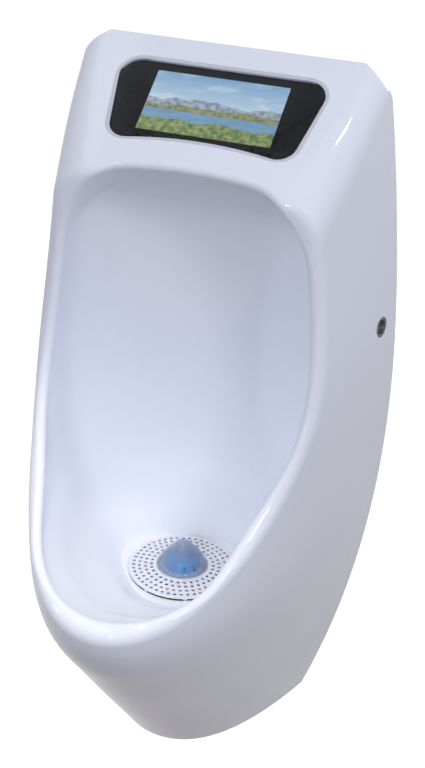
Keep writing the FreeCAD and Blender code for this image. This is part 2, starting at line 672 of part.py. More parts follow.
board_front = board_back + BOARD_THICKNESS
board = box(-BOARD_WIDTH / 2, BOARD_WIDTH / 2,
            -SCREEN_DROP - BOARD_HEIGHT / 2, -SCREEN_DROP + BOARD_HEIGHT / 2, board_back, board_front)
nodes["control_board"] = [on_header(board)]
chips = []
for x, y, wide, tall, high in ((-18, 6, 16, 16, 1.4), (8, 8, 12, 9, 1.2), (30, -6, 9, 14, 3.0),
                               (-36, -14, 8, 8, 4.5), (0, -20, 30, 5, 2.5), (38, 18, 12, 8, 5.0)):
    middle = y - SCREEN_DROP
    chip_top = board_front + high
    chip = box(x - wide / 2, x + wide / 2, middle - tall / 2, middle + tall / 2, board_front, chip_top)
    chips.append(on_header(chip))
nodes["board_chips"] = chips

sensor = box(SENSOR_OFFSET - SENSOR_WIDTH / 2, SENSOR_OFFSET + SENSOR_WIDTH / 2,
             -SCREEN_DROP - SENSOR_HEIGHT / 2, -SCREEN_DROP + SENSOR_HEIGHT / 2,
             -HEADER_WALL - SENSOR_THICKNESS, -HEADER_WALL)
lens = post(SENSOR_OFFSET, SCREEN_DROP, LENS_RADIUS, -HEADER_WALL, -POCKET_DEPTH - LENS_CLEARANCE)
nodes["proximity_sensor"] = [on_header(sensor.fuse(lens).removeSplitter())]

# Drain housing and outlet
gasket_low = COLLAR_LEVEL - DRAIN_GASKET_THICKNESS
flange_low = gasket_low - FLANGE_THICKNESS
flange_radius = COLLAR_RADIUS - FLANGE_INSET
nodes["drain_gasket"] = [ring(HOUSING_RADIUS + FLANGE_INSET, flange_radius, gasket_low, COLLAR_LEVEL)]
outlet_bore = OUTLET_RADIUS - OUTLET_WALL
nodes["drain_housing"] = [turned([
    (outlet_bore, SPIGOT_END), (OUTLET_RADIUS, SPIGOT_END), (OUTLET_RADIUS, HOUSING_FLOOR),
    (HOUSING_RADIUS, HOUSING_FLOOR), (HOUSING_RADIUS, flange_low), (flange_radius, flange_low),
    (flange_radius, gasket_low), (HOUSING_RADIUS, gasket_low), (HOUSING_RADIUS, HOUSING_TOP),
    (HOUSING_BORE, HOUSING_TOP), (HOUSING_BORE, HOUSING_FLOOR + HOUSING_FLOOR_THICKNESS),
    (outlet_bore, HOUSING_FLOOR + HOUSING_FLOOR_THICKNESS)])]
union_bore = COLLAR_RADIUS + UNION_CLEARANCE
union_neck = HOUSING_RADIUS + UNION_NECK_GAP
union_radius = union_bore + UNION_WALL
union_low = flange_low - UNION_FLOOR
union_nut = turned([(union_neck, union_low), (union_radius, union_low),
                    (union_radius, union_low + NUT_GRIP_HEIGHT), (union_bore, union_low + NUT_GRIP_HEIGHT),
                    (union_bore, flange_low), (union_neck, flange_low)])
grips = []
for k in range(GRIP_COUNT):
    grip = box(union_radius - 1, union_radius + GRIP_HEIGHT, -GRIP_WIDTH / 2, GRIP_WIDTH / 2,
               union_low, union_low + NUT_GRIP_HEIGHT * 0.7)
    grip.rotate(Vec(0, 0, 0), UP, k * 360 / GRIP_COUNT)
    grip.translate(DRAIN_AXIS)
    grips.append(grip)
nodes["drain_union_nut"] = [union_nut.fuse(grips).removeSplitter()]

elbow_socket = OUTLET_RADIUS + SOCKET_CLEARANCE
elbow_outer = elbow_socket + SOCKET_WALL
bend_level = SPIGOT_END - 4
outlet_level = bend_level - BEND_RADIUS
bend_reach = DRAIN_REACH - BEND_RADIUS
socket_start = OUTLET_SETBACK + OUTLET_SOCKET_LENGTH


def elbow_core(radius, socket_radius, overlap):
    upper = Part.makeCylinder(socket_radius, HOUSING_FLOOR - 2 - SPIGOT_END + SPIGOT_GAP + 2 * overlap,
                              DRAIN_AXIS + UP * (SPIGOT_END - SPIGOT_GAP), UP)
    pipe = Part.makeCylinder(radius, SPIGOT_END - bend_level, DRAIN_AXIS + UP * bend_level, UP)
    circle = Part.Face(Part.Wire([Part.makeCircle(radius, DRAIN_AXIS + UP * bend_level, UP)]))
    bend = circle.revolve(Vec(0, -bend_reach, bend_level), SIDEWAYS, 90)
    level = Vec(0, -bend_reach, outlet_level)
    run = Part.makeCylinder(radius, bend_reach - socket_start + 1, level, INWARD)
    mouth = Part.makeCylinder(socket_radius, OUTLET_SOCKET_LENGTH + 2 * overlap,
                              Vec(0, -socket_start, outlet_level), INWARD)
    return pipe.fuse([upper, bend, run, mouth]).removeSplitter()


elbow = elbow_core(OUTLET_RADIUS, elbow_outer, 0).fuse([
    Part.makeCylinder(elbow_outer, SHOULDER_LENGTH,
                      DRAIN_AXIS + UP * (SPIGOT_END - SPIGOT_GAP - SHOULDER_LENGTH), UP),
    Part.makeCylinder(elbow_outer, SHOULDER_LENGTH,
                      Vec(0, -socket_start - SHOULDER_LENGTH, outlet_level), INWARD)]).removeSplitter()
elbow = elbow.cut(elbow_core(outlet_bore, elbow_socket, 1))
groove_level = HOUSING_FLOOR - UPPER_SEAL_DROP
groove_reach = OUTLET_SETBACK + WALL_SEAL_DEPTH
groove_outer = elbow_socket + SEAL_DEPTH
seal_outer = groove_outer - SEAL_FIT
seal_half = SEAL_HALF_LENGTH - 2 * SEAL_FIT
top_groove = ring(elbow_socket - 1, groove_outer,
                  groove_level - SEAL_HALF_LENGTH, groove_level + SEAL_HALF_LENGTH)
top_seal = ring(OUTLET_RADIUS + SEAL_FIT, seal_outer, groove_level - seal_half, groove_level + seal_half)


def wall_ring(inner, outer, half):
    start = Vec(0, -groove_reach - half, outlet_level)
    disc = Part.makeCylinder(outer, 2 * half, start, INWARD)
    return disc.cut(Part.makeCylinder(inner, 4 * half, start - Vec(0, half, 0), INWARD))


wall_groove = wall_ring(elbow_socket - 1, groove_outer, SEAL_HALF_LENGTH)
nodes["outlet_elbow"] = [elbow.cut([top_groove, wall_groove])]
nodes["elbow_seals"] = [top_seal, wall_ring(elbow_socket + SEAL_FIT, seal_outer, seal_half)]

# Trap cartridge
flange_seat = HOUSING_TOP + SEAT_GAP
cup = turned([
    (PORT_RADIUS, CUP_FLOOR), (CUP_RADIUS, CUP_FLOOR), (CUP_RADIUS, flange_seat),
    (HOUSING_RADIUS, flange_seat), (HOUSING_RADIUS, flange_seat + CUP_FLANGE_THICKNESS),
    (CUP_BORE, flange_seat + CUP_FLANGE_THICKNESS), (CUP_BORE, CUP_FLOOR + CUP_FLOOR_THICKNESS),
    (PORT_RADIUS, CUP_FLOOR + CUP_FLOOR_THICKNESS)])
ring_outer = HOUSING_BORE - SEAT_GAP
ring_inner = ring_outer - RING_SECTION
for level in RING_LEVELS:
    groove_half = RING_SECTION * 0.6
    cup = cup.cut(ring(ring_inner - SEAL_FIT, CUP_RADIUS + 1, level - groove_half, level + groove_half))
nodes["trap_cup"] = [cup]
o_rings = []
for level in RING_LEVELS:
    loop = Part.makeTorus(ring_outer - RING_SECTION / 2, RING_SECTION / 2, DRAIN_AXIS + UP * level, UP)
    o_rings.append(loop)
nodes["trap_o_rings"] = o_rings

seat_top = CUP_FLOOR + CUP_FLOOR_THICKNESS + SEAT_THICKNESS
float_low = seat_top + FLOAT_GAP
float_top = float_low + FLOAT_HEIGHT
guide_end = float_top + FLOAT_TRAVEL + SEAT_GAP
web_level = STRAINER_EDGE_LEVEL + STRAINER_RISE
skirt_outer = CUP_BORE - SKIRT_CLEARANCE
skirt_low = flange_seat
strainer_top = STRAINER_EDGE_LEVEL + STRAINER_BEVEL
strainer_low = strainer_top - STRAINER_THICKNESS
web_low = web_level - STRAINER_THICKNESS
hub = CONE_RADIUS + 0.5
strainer = turned([
    (0, web_low), (hub - 1, web_low), (hub + 1, strainer_low), (STRAINER_RADIUS - 1, strainer_low),
    (STRAINER_RADIUS, strainer_low + 1), (STRAINER_RADIUS, STRAINER_EDGE_LEVEL),
    (STRAINER_RADIUS - 2 * STRAINER_BEVEL, strainer_top), (hub + 2, strainer_top), (hub, web_level),
    (0, web_level)])
skirt = ring(skirt_outer - SKIRT_WALL, skirt_outer, skirt_low, strainer_low + 1)
guide_bore = STEM_RADIUS + GUIDE_CLEARANCE
guide = ring(guide_bore, guide_bore + GUIDE_WALL, guide_end, web_low + 1)
feet = []
foot_outer = STRAINER_RADIUS - FOOT_INSET
for k in range(FOOT_COUNT):
    foot = box(foot_outer - FOOT_THICKNESS, foot_outer, -FOOT_WIDTH / 2, FOOT_WIDTH / 2,
               DRAIN_LEVEL + SEAT_GAP, strainer_low + 1)
    foot.rotate(Vec(0, 0, 0), UP, FOOT_TURN + k * 360 / FOOT_COUNT)
    foot.translate(DRAIN_AXIS)
    feet.append(foot)
strainer = strainer.fuse([skirt, guide] + feet).removeSplitter()
bores = []
for radius, count in STRAINER_RINGS:
    for k in range(count):
        turn = 2 * math.pi * (k + 0.5) / count
        spot = DRAIN_AXIS + Vec(radius * math.cos(turn), radius * math.sin(turn), strainer_low - 1)
        bores.append(Part.makeCylinder(STRAINER_HOLE_RADIUS, STRAINER_THICKNESS + 2, spot, UP))
bores.append(Part.makeCylinder(guide_bore, web_low - guide_end + 5, DRAIN_AXIS + UP * (guide_end - 5), UP))
nodes["strainer_disc"] = [strainer.cut(bores)]

cone_base = web_level + SEAL_FIT


def cone_solid(inset):
    outline = [(1.0, 0.0), (0.91, 0.2), (0.76, 0.42), (0.53, 0.66), (0.29, 0.88), (0.0, 1.0)]
    points = [Vec(share * (CONE_RADIUS - inset), 0, cone_base + rise * (CONE_HEIGHT - inset))
              for share, rise in outline]
    curve = Part.BSplineCurve()
    curve.interpolate(Points=points, InitialTangent=Vec(-0.3, 0, 1), FinalTangent=Vec(-1, 0, 0))
    foot = Vec(0, 0, cone_base)
    wire = Part.Wire([curve.toShape(), Part.makeLine(points[-1], foot), Part.makeLine(foot, points[0])])
    solid = Part.Face(wire).revolve(Vec(0, 0, 0), UP, 360)
    solid.translate(DRAIN_AXIS)
    return solid


slots = []
for group in range(3):
    for angle in SLOT_ANGLES:
        slot = box(CONE_RADIUS * 0.7, CONE_RADIUS + 5, -SLOT_WIDTH / 2, SLOT_WIDTH / 2,
                   cone_base + SLOT_START, cone_base + SLOT_END)
        slot.rotate(Vec(0, 0, 0), UP, angle - 90 + 120 * group)
        slot.translate(DRAIN_AXIS)
        slots.append(slot)
nodes["trap_cone"] = [cone_solid(0).cut([cone_solid(CONE_WALL)] + slots)]
stone_top = cone_base + STONE_HEIGHT
nodes["cleaning_stone"] = [turned([
    (0, cone_base), (STONE_RADIUS, cone_base), (STONE_RADIUS, cone_base + STONE_SHOULDER),
    (STONE_RADIUS * 0.6, stone_top), (0, stone_top)])]

seat_outer = PORT_RADIUS + SEAT_WIDTH
nodes["valve_seat"] = [ring(PORT_RADIUS + SEAT_GAP, seat_outer, seat_top - SEAT_THICKNESS, seat_top)]
stem_top = guide_end + STEM_GRIP
nodes["trap_float"] = [turned([
    (0, float_low), (seat_outer, float_low), (FLOAT_RADIUS, float_low + FLOAT_BEVEL),
    (FLOAT_RADIUS, float_top - FLOAT_BEVEL), (FLOAT_RADIUS - FLOAT_BEVEL, float_top),
    (STEM_RADIUS, float_top), (STEM_RADIUS, stem_top), (0, stem_top)])]

for name, solids in nodes.items():
    moved = []
    for solid in solids:
        part = solid.copy()
        part.translate(Vec(0, 0, -FIXING_LEVEL))
        moved += part.Solids
    shape = moved[0] if len(moved) == 1 else Part.makeCompound(moved)
    shape.exportStep("parts/" + name + ".step")
    print(name, len(moved), shape.isValid(), round(shape.Volume))
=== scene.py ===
import math

import bpy
import bmesh
from mathutils import Matrix, Vector


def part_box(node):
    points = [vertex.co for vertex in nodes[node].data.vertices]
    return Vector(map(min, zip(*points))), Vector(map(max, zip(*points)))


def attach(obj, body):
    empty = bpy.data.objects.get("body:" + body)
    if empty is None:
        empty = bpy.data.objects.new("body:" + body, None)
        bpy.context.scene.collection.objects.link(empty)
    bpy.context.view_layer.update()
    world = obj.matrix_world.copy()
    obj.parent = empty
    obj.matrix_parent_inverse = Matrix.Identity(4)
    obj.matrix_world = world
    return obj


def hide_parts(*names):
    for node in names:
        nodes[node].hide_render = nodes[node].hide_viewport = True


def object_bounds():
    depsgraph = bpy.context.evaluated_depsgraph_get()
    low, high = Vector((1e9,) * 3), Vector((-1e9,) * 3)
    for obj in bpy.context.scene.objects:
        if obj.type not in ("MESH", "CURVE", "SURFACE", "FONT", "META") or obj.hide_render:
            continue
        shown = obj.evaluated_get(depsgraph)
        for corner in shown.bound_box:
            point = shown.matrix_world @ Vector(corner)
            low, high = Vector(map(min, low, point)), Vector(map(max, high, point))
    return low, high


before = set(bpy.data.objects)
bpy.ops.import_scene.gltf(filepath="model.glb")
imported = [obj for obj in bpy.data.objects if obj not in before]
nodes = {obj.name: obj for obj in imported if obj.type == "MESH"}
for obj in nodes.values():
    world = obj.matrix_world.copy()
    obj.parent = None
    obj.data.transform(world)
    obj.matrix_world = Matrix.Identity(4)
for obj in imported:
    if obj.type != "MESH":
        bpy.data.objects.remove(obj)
cad_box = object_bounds()

# Camera, at the photograph's angle
PHOTO_HEIGHT = 768
FOCAL_PIXELS = 1487
SENSOR_WIDTH = 36.0
CAMERA_PLACE = Vector((0.3755, -1.1983, 0.5722))
CAMERA_YAW = math.radians(17.70)
CAMERA_PITCH = math.radians(28.30)
CAMERA_ROLL = math.radians(2.64)

# Header face and the screen in it, whose drop is measured down the slope
HEADER_TOP = Vector((0, 0, cad_box[1][2]))
HEADER_SLOPE = math.radians(33)
SCREEN_DROP = 0.0674
SCREEN_HALF_WIDTH = 0.059
SCREEN_HALF_HEIGHT = 0.0323

CRISP_ANGLE = math.radians(40)

# Strainer disc, which takes its place and its radius from the solid that it stands for
STRAINER_LOW, STRAINER_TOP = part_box("strainer_disc")
DRAIN = Vector((0, (STRAINER_LOW.y + STRAINER_TOP.y) / 2, 0))
STRAINER_RADIUS = STRAINER_TOP.x
STRAINER_THICKNESS = 0.0017
STRAINER_RISE = 0.0021
STRAINER_EDGE = STRAINER_TOP.z - STRAINER_RISE
STRAINER_ROUNDING = 0.00035
STRAINER_HOLE = 0.0016
STRAINER_RINGS = ((0.0296, 30), (0.0352, 36), (0.0410, 42), (0.0466, 48))
GROOVE_INNER = 0.0239
GROOVE_OUTER = 0.0247
GROOVE_DEPTH = 0.0019
HUB_THICKNESS = 0.0034
HUB_FLANGE = 0.0262
SKIRT_RADIUS = 0.0394
SKIRT_WALL = 0.0020
SKIRT_DEPTH = 0.0124
GUIDE_BORE = 0.0033
GUIDE_RADIUS = 0.0070
FOOT_COUNT = 8
FOOT_TURN = -112
FOOT_SIZE = (0.0024, 0.0034, 0.0026)
CONE_SEAT_GAP = 0.0001
# Dark ring on the bowl's floor under the strainer's edge: painted shade for the shadow in the gap there
SHADE_RING_INNER = 0.0466
SHADE_RING_OUTER = 0.0511
SHADE_RING_DROP = 0.0031
SHADE_RING_THICKNESS = 0.0004
PIN_HOLE = 0.0005
JOINT_OVERLAP = 0.0003
WELD_DISTANCE = 1e-6
RIM_STEPS = 40
GROOVE_STEPS = 24
HOLE_STEPS = 5
EDGE_STEPS = 2
RING_STEPS = 128
GUIDE_STEPS = 48

# Studio: each lamp has a name, a place, a width, a height, its watts and its tint
FLOOR_LEVEL = -0.815
FLOOR_HALF = 8.0
FLOOR_BOUNCE = (0.20, 0.15, 0.13)
FLOOR_SEEN = 0.5
FLOOR_GLOW = 0.9
SKY = (0.275, 0.28, 0.295)
COOL = (0.95, 0.94, 1.0)
BLUE = (0.78, 0.81, 1.0)
WARM = (1.0, 0.92, 0.86)
LAMP_TARGET = Vector((0, -0.12, -0.05))
LAMPS = (
    ("right", (1.3, -1.3, 1.4), 0.35, 0.35, 8.0, COOL),
    ("over", (-0.51, -0.69, 1.86), 0.1, 0.1, 0.9, COOL),
    ("over_right", (0.84, -0.15, 1.9), 0.14, 0.2, 2.0, COOL),
    ("left", (-1.7, -1.0, 0.7), 0.1, 0.5, 3.8, BLUE),
    ("side", (1.9, -0.6, 0.9), 0.8, 1.4, 8.6, BLUE),
    ("front", (0.1, -2.1, 0.9), 0.25, 0.25, 12.5, BLUE),
    ("window", (-1.05, 0.15, 1.9), 0.7, 0.6, 2.0, COOL),
    ("back", (0.7, 2.0, 0.7), 1.0, 1.0, 14.0, COOL),
)
SPOT_TARGET = (-0.04, -0.175, -0.23)
SPOT_ANGLE = math.radians(13)
SPOT_RADIUS = 0.03
SPOTS = (
    ("spot_right", (0.12, -0.80, 1.35), 36),
    ("spot_left", (-0.45, -0.90, 1.40), 8),
)


class Wire:
    """A shader socket that can be used in sums."""

    def __init__(self, tree, socket):
        self.tree = tree
        self.socket = socket

    def maths(self, operation, first, second, clamp=False):
        """Adds one Math node, whose inputs are wires or numbers."""
        node = self.tree.nodes.new("ShaderNodeMath")
        node.operation = operation
        node.use_clamp = clamp
        feed(self.tree, node.inputs[0], first)
        feed(self.tree, node.inputs[1], second)
        return Wire(self.tree, node.outputs[0])

    def __add__(self, other):
        return self.maths("ADD", self, other)

    def __radd__(self, other):
        return self.maths("ADD", other, self)

    def __sub__(self, other):
        return self.maths("SUBTRACT", self, other)

    def __rsub__(self, other):
        return self.maths("SUBTRACT", other, self)

    def __mul__(self, other):
        return self.maths("MULTIPLY", self, other)

    def __rmul__(self, other):
        return self.maths("MULTIPLY", other, self)

    def __truediv__(self, other):
        return self.maths("DIVIDE", self, other)

    def __rtruediv__(self, other):
        return self.maths("DIVIDE", other, self)

    def over(self, width):
        """0 below zero, 1 above width, even between."""
        return self.maths("DIVIDE", self, width, clamp=True)


def feed(tree, socket, value):
    """Links a wire to a socket, or sets the socket to a plain value."""
    if isinstance(value, Wire):
        tree.links.new(value.socket, socket)
    else:
        socket.default_value = value


class Graph:
    """The nodes of one material or of the world."""

    def __init__(self, tree):
        self.tree = tree

    def node(self, kind, settings=None, sockets=None, output=0):
        """Adds one node: its settings first, then the values or wires of its sockets."""
        made = self.tree.nodes.new(kind)
        for name, value in (settings or {}).items():
            setattr(made, name, value)
        for name, value in (sockets or {}).items():
            feed(self.tree, made.inputs[name], value)
        return Wire(self.tree, made.outputs[output])

    def mix(self, share, first, second):
        """One colour into another. The mix node has its colours on sockets 6 and 7, its result on 2."""
        return self.node("ShaderNodeMix", {"data_type": "RGBA"}, {0: share, 6: first, 7: second}, output=2)

    def backdrop(self):
        """1 where a surface is looked at, mirrored or seen through glass, 0 where it only gives light."""
        seen, mirrored, through = [
            self.node("ShaderNodeLightPath", output=kind)
            for kind in ("Is Camera Ray", "Is Glossy Ray", "Is Transmission Ray")]
        return (seen + mirrored + through).over(1.0)


class Finish(Graph):
    """One material: a principled shader and the nodes that feed it."""

    def __init__(self, name, **constants):
        self.material = bpy.data.materials.new(name)
        self.material.use_nodes = True
        super().__init__(self.material.node_tree)
        self.shader = self.tree.nodes["Principled BSDF"]
        self.set(**constants)

    def set(self, **sockets):
        """Feeds the shader's own sockets; an underscore in a name stands for a space."""
        for name, value in sockets.items():
            feed(self.tree, self.shader.inputs[name.replace("_", " ")], value)

    def place(self):
        """Where a point lies in the object's frame."""
        return self.node("ShaderNodeTexCoord", output="Object")

    def along(self, direction):
        """Distance along a direction in the object's frame."""
        return self.node("ShaderNodeVectorMath", {"operation": "DOT_PRODUCT"},
                         {0: self.place(), 1: tuple(direction)}, output="Value")

    def noise(self, scale, detail=2.0, stretch=(1, 1, 1)):
        """Cloudy value from 0 to 1; a direction with less stretch has longer streaks."""
        spot = self.place()
        if stretch != (1, 1, 1):
            spot = self.node("ShaderNodeVectorMath", {"operation": "MULTIPLY"}, {0: spot, 1: stretch})
        return self.node("ShaderNodeTexNoise", None, {"Vector": spot, "Scale": scale, "Detail": detail})

    def bump(self, height, strength, distance):
        """Fine relief of the surface, with its depth in metres."""
        normal = self.node("ShaderNodeBump", None,
                           {"Height": height, "Strength": strength, "Distance": distance})
        self.set(Normal=normal)


def colour(red, green, blue):
    """An opaque colour in linear light."""
    return (red, green, blue, 1.0)


def shade(colour_value, share):
    """The same colour, darker or lighter."""
    return tuple(part * share for part in colour_value[:3]) + (1.0,)


def moulded(name, base, roughness, spread=0.03, grain=900, depth=0.00002, **constants):
    """Moulded plastic: faint cloudy colour, uneven gloss and a fine skin."""
    finish = Finish(name, **constants)
    cloud = finish.noise(scale=14)
    gloss = finish.noise(scale=55)
    finish.set(Base_Color=finish.mix(cloud, shade(base, 0.97), shade(base, 1.02)))
    finish.set(Roughness=roughness + (gloss - 0.5) * spread)
    finish.bump(finish.noise(scale=grain), strength=0.25, distance=depth)
    return finish


def shell_plastic():
    """White moulded shell under a clear gloss, a little uneven as thick mouldings are."""
    finish = Finish("shell_plastic", Specular_IOR_Level=0.0, Coat_IOR=1.45, Coat_Roughness=0.03)
    base = colour(0.876, 0.908, 0.956)
    cloud = finish.noise(scale=6)
    finish.set(Base_Color=finish.mix(cloud, shade(base, 0.985), shade(base, 1.01)))
    finish.set(Roughness=0.2 + (finish.noise(scale=30) - 0.5) * 0.05)
    finish.set(Coat_Weight=0.5 + (finish.noise(scale=18) - 0.5) * 0.15)
    finish.bump(finish.noise(scale=160, detail=1.0), strength=0.05, distance=0.0002)
    return finish


def pane_glass():
    """Clear pane: light goes straight through it and its face mirrors a little."""
    finish = Finish("pane_glass", Base_Color=colour(1, 1, 1), Metallic=1.0)
    smear = finish.noise(scale=25, detail=4.0, stretch=(1, 2.5, 2.5))
    finish.set(Roughness=0.05 + smear * 0.08)
    clear = finish.node("ShaderNodeBsdfTransparent", None, {"Color": colour(0.97, 0.985, 1.0)})
    gloss = finish.node("ShaderNodeFresnel", None, {"IOR": 1.15})
    mirror = Wire(finish.tree, finish.shader.outputs[0])
    surface = finish.node("ShaderNodeMixShader", None, {0: gloss, 1: clear, 2: mirror})
    feed(finish.tree, finish.tree.nodes["Material Output"].inputs["Surface"], surface)
    return finish


def mask_print():
    """Black print behind the pane, with a fine speck."""
    finish = Finish("mask_print", Specular_IOR_Level=0.1)
    speck = finish.noise(scale=2500)
    finish.set(Base_Color=finish.mix(speck, colour(0.010, 0.010, 0.011), colour(0.020, 0.020, 0.022)))
    finish.set(Roughness=0.4 + speck * 0.1)
    return finish


def screen_picture():
    """A plain lakeside: sky with thin cloud, far mountains, a low hill, water and a rough meadow."""
    finish = Finish("screen_picture", Base_Color=colour(0.01, 0.01, 0.01), Roughness=0.3,
                    Emission_Strength=0.85)
    up_slope = Vector((0, math.cos(HEADER_SLOPE), math.sin(HEADER_SLOPE)))
    across = finish.along((1 / SCREEN_HALF_WIDTH, 0, 0))
    start = up_slope.dot(HEADER_TOP) - SCREEN_DROP
    up = (finish.along(up_slope) - start) / SCREEN_HALF_HEIGHT

    def ridge(level, height, scale, seed):
        """How far a point lies under a wavy skyline."""
        wave = finish.node("ShaderNodeTexNoise", {"noise_dimensions": "1D"},
                           {"W": across + seed, "Scale": scale, "Detail": 3.0})
        return level + (wave - 0.5) * height - up

    cloud = finish.noise(scale=60, detail=5.0, stretch=(0.6, 2.0, 2.0))
    sky = finish.mix((up + 0.1).over(1.2), colour(0.50, 0.66, 0.78), colour(0.16, 0.34, 0.58))
    picture = finish.mix((cloud - 0.52).over(0.25) * 0.7, sky, colour(0.72, 0.80, 0.86))
    rock = (finish.noise(scale=260, detail=6.0) - 0.36).over(0.28)
    far = finish.mix(rock, colour(0.17, 0.23, 0.31), colour(0.42, 0.48, 0.55))
    far_line = ridge(level=0.16, height=0.55, scale=1.6, seed=3.0)
    picture = finish.mix(far_line.over(0.03), picture, far)
    grass = (finish.noise(scale=240, detail=6.0) - 0.36).over(0.28)
    hill = finish.mix(grass, colour(0.10, 0.15, 0.05), colour(0.36, 0.33, 0.14))
    hill_line = ridge(level=-0.06, height=0.42, scale=1.1, seed=8.3)
    picture = finish.mix(hill_line.over(0.03), picture, hill)
    ripple = finish.noise(scale=90, detail=3.0, stretch=(0.7, 6.0, 6.0))
    water = finish.mix(ripple, colour(0.05, 0.19, 0.36), colour(0.26, 0.45, 0.60))
    shore_line = ridge(level=-0.24, height=0.06, scale=0.8, seed=1.2)
    picture = finish.mix(shore_line.over(0.02), picture, water)
    meadow = finish.mix(grass, colour(0.06, 0.14, 0.03), colour(0.30, 0.36, 0.10))
    meadow_line = ridge(level=-0.55, height=0.35, scale=1.3, seed=5.7)
    picture = finish.mix(meadow_line.over(0.03), picture, meadow)
    finish.set(Emission_Color=picture)
    return finish


def seal_light():
    return moulded("seal_light", colour(0.62, 0.64, 0.69), 0.45, grain=1600)


def strainer_plastic():
    return moulded("strainer_plastic", colour(0.78, 0.80, 0.85), 0.28, grain=1300, depth=0.00003, IOR=1.5)


def cone_plastic():
    """Milky clear plastic: hazier at its sides and tip, clearer where it is looked at straight."""
    finish = Finish("cone_plastic", IOR=1.45)
    low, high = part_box("trap_cone")
    rise = (finish.along((0, 0, 1)) - low.z) / (high.z - low.z)
    haze = finish.noise(scale=160, detail=3.0)
    edge = finish.node("ShaderNodeLayerWeight", None, {"Blend": 0.35}, output="Facing")
    finish.set(Base_Color=finish.mix(haze, colour(0.28, 0.36, 0.50), colour(0.34, 0.41, 0.54)))
    finish.set(Roughness=0.22 + haze * 0.1)
    finish.set(Alpha=(0.22 + edge * 0.7 + (rise - 0.5).over(0.45) * 0.45).over(1.0))
    return finish


def stone_block():
    """Pressed blue block with a coarse grain."""
    finish = Finish("stone_block", Roughness=0.8)
    grain = finish.noise(scale=700, detail=4.0)
    finish.set(Base_Color=finish.mix(grain, colour(0.03, 0.34, 0.82), colour(0.07, 0.48, 0.96)))
    finish.bump(grain, strength=0.6, distance=0.0005)
    return finish


def bright_steel():
    """Turned steel with fine marks along one way."""
    finish = Finish("bright_steel", Metallic=1.0)
    brush = finish.noise(scale=300, detail=3.0, stretch=(0.2, 1, 1))
    finish.set(Base_Color=finish.mix(brush, colour(0.60, 0.60, 0.60), colour(0.69, 0.69, 0.69)))
    finish.set(Roughness=0.28 + brush * 0.14)
    finish.bump(brush, strength=0.1, distance=0.00002)
    return finish


def zinc_plate():
    """Zinc plated sheet with its patchy crystals."""
    finish = Finish("zinc_plate", Metallic=1.0)
    spangle = finish.node("ShaderNodeTexVoronoi", None, {"Vector": finish.place(), "Scale": 90.0},
                          output="Color")
    tint = finish.node("ShaderNodeRGBToBW", None, {0: spangle})
    finish.set(Base_Color=finish.mix(tint, colour(0.50, 0.51, 0.53), colour(0.64, 0.65, 0.67)))
    finish.set(Roughness=0.32 + tint * 0.12)
    finish.bump(finish.noise(scale=500), strength=0.1, distance=0.00003)
    return finish


# Near-black bush: part of its darkness is painted shade, standing for the shade inside the flank hole
def bush_plastic_and_shade():
    return moulded("bush_plastic_and_shade", colour(0.06, 0.062, 0.066), 0.35, grain=1500)


def cover_plastic():
    return moulded("cover_plastic", colour(0.05, 0.05, 0.055), 0.55, grain=1100, depth=0.0001)


def gland_plastic():
    return moulded("gland_plastic", colour(0.16, 0.165, 0.175), 0.5, grain=1300)


def drain_plastic():
    return moulded("drain_plastic", colour(0.022, 0.023, 0.025), 0.42, grain=1000, depth=0.00005)


def nut_plastic():
    return moulded("nut_plastic", colour(0.30, 0.32, 0.35), 0.45, grain=1000, depth=0.00005)


def pipe_plastic():
    """Black pipe plastic with faint streaks along its run."""
    finish = Finish("pipe_plastic")
    drawn = finish.noise(scale=240, detail=3.0, stretch=(1, 0.2, 0.2))
    finish.set(Base_Color=finish.mix(drawn, colour(0.018, 0.018, 0.02), colour(0.035, 0.035, 0.038)))
    finish.set(Roughness=0.42 + drawn * 0.15)
    finish.bump(drawn, strength=0.15, distance=0.0001)
    return finish


def dark_rubber():
    return moulded("dark_rubber", colour(0.02, 0.02, 0.022), 0.7, grain=1800, depth=0.00006)


def trap_plastic():
    return moulded("trap_plastic", colour(0.035, 0.037, 0.042), 0.3, grain=1200)


def float_foam():
    return moulded("float_foam", colour(0.70, 0.60, 0.36), 0.75, grain=650, depth=0.0003)


def circuit_board():
    """Green board with a net of lighter tracks."""
    finish = Finish("circuit_board", IOR=1.5)
    track = finish.node("ShaderNodeTexBrick", {"offset": 0.35}, {
        "Vector": finish.place(), "Scale": 60.0, "Mortar Size": 0.05,
        "Color1": colour(0.012, 0.10, 0.035), "Color2": colour(0.016, 0.13, 0.045),
        "Mortar": colour(0.04, 0.22, 0.08)})
    finish.set(Base_Color=track)
    finish.set(Roughness=0.35 + finish.noise(scale=400) * 0.15)
    return finish


def chip_epoxy():
    return moulded("chip_epoxy", colour(0.015, 0.015, 0.017), 0.55, grain=2600, depth=0.00004)


def dress():
    """Gives every piece of the assembly its finish."""
    steel = bright_steel()
    rubber = dark_rubber()
    chip = chip_epoxy()
    finishes = {
        "body_shell": shell_plastic(),
        "wall_bracket": zinc_plate(),
        "flank_bushes": bush_plastic_and_shade(),
        "locking_screws": steel,
        "weld_nuts": steel,
        "cover_screws": steel,
        "window_mask": mask_print(),
        "display_window": pane_glass(),
        "display_gasket": seal_light(),
        "lcd_panel": screen_picture(),
        "electronics_cover": cover_plastic(),
        "cable_gland": gland_plastic(),
        "control_board": circuit_board(),
        "board_chips": chip,
        "proximity_sensor": chip,
        "drain_gasket": rubber,
        "elbow_seals": rubber,
        "trap_o_rings": rubber,
        "valve_seat": rubber,
        "drain_housing": drain_plastic(),
        "drain_union_nut": nut_plastic(),
        "outlet_elbow": pipe_plastic(),
        "trap_cup": trap_plastic(),
        "strainer_disc": strainer_plastic(),
        "trap_cone": cone_plastic(),
        "cleaning_stone": stone_block(),
        "trap_float": float_foam(),
    }
    for name, finish in finishes.items():
        mesh = nodes[name].data
        mesh.materials.clear()
        mesh.materials.append(finish.material)
    return finishes


